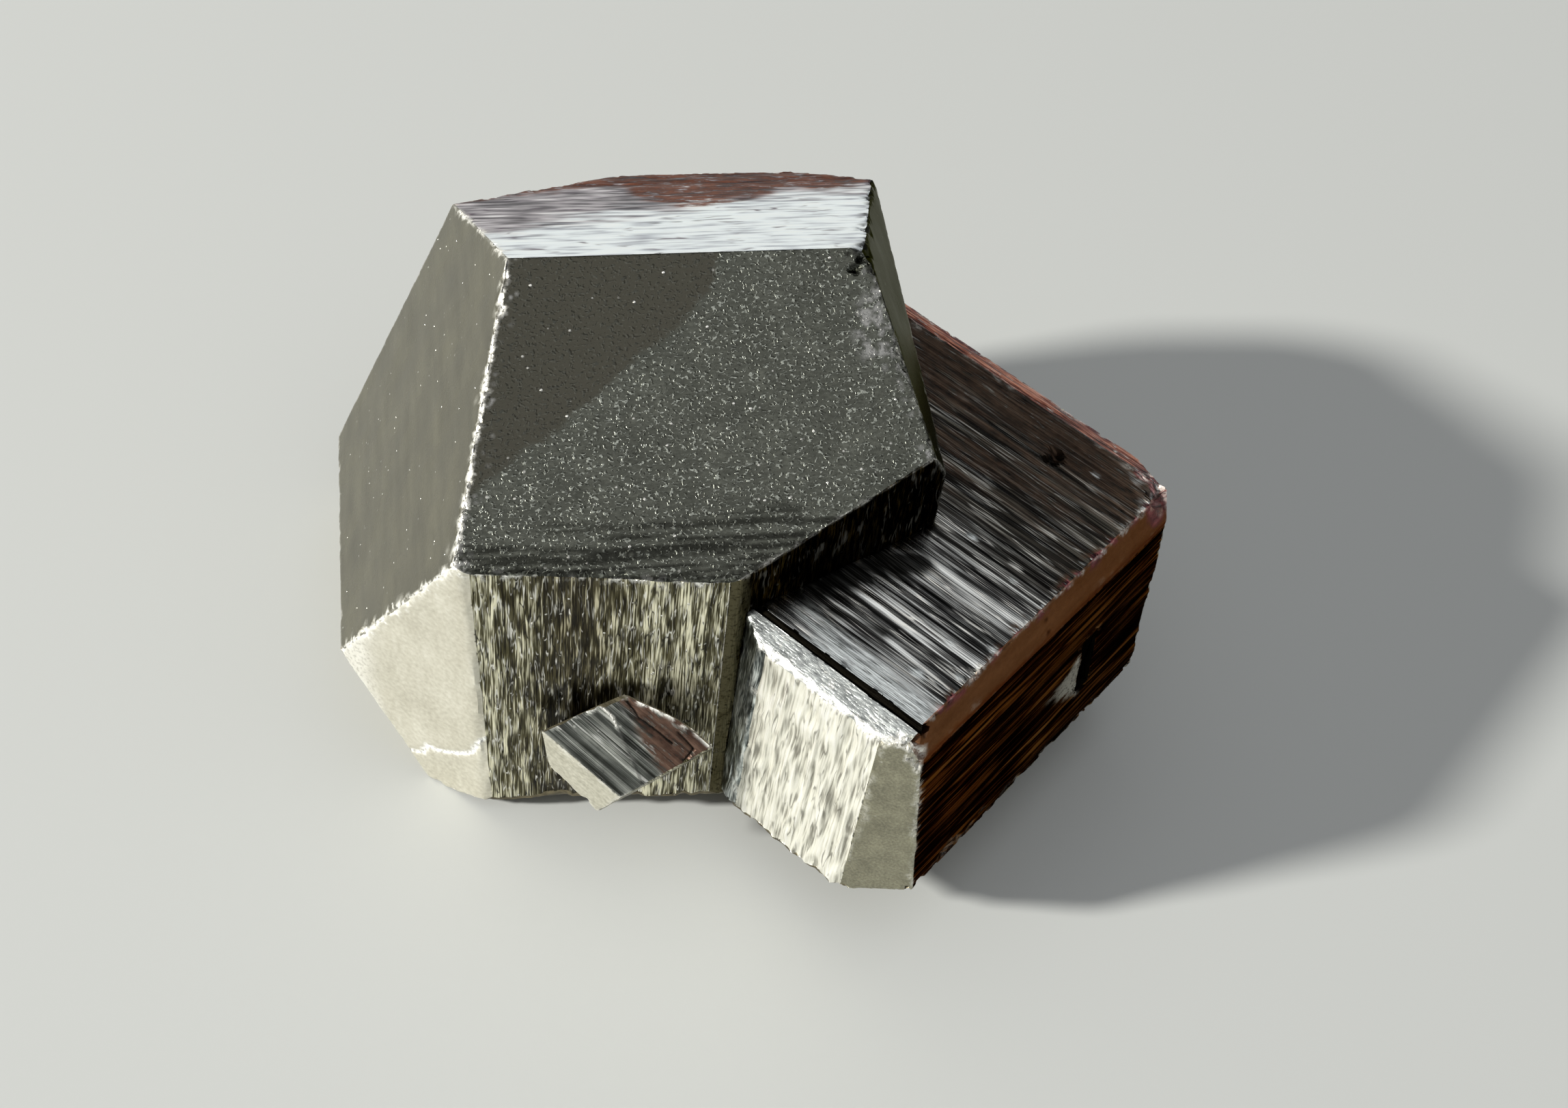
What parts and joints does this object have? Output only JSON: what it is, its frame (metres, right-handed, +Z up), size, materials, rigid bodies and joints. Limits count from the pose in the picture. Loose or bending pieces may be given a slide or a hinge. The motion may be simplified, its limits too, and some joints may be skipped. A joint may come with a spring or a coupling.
{
  "type": "pyrite crystal specimen",
  "caption": "Intergrown pyrite crystals, pyritohedral and cubic faces joined in one heavy natural mass, resting on a flat base, for display or as a small weight.",
  "frame": {"origin": "centre of the bounding box, on the resting plane", "axes": "+Z up; +X along the longest extent, from the large crystal's left edge towards the side crystal; the small crystal is on the -Y side"},
  "size_m": [0.072, 0.0542, 0.0422],
  "materials": {
    "pyrite": "natural pale brassy metallic lustre, striated cube faces, smooth satin pyritohedron faces, red-brown iron oxide in places"
  },
  "bodies": {
    "root": {"pyrite_crystals": "pyrite"}
  },
  "joints": []
}
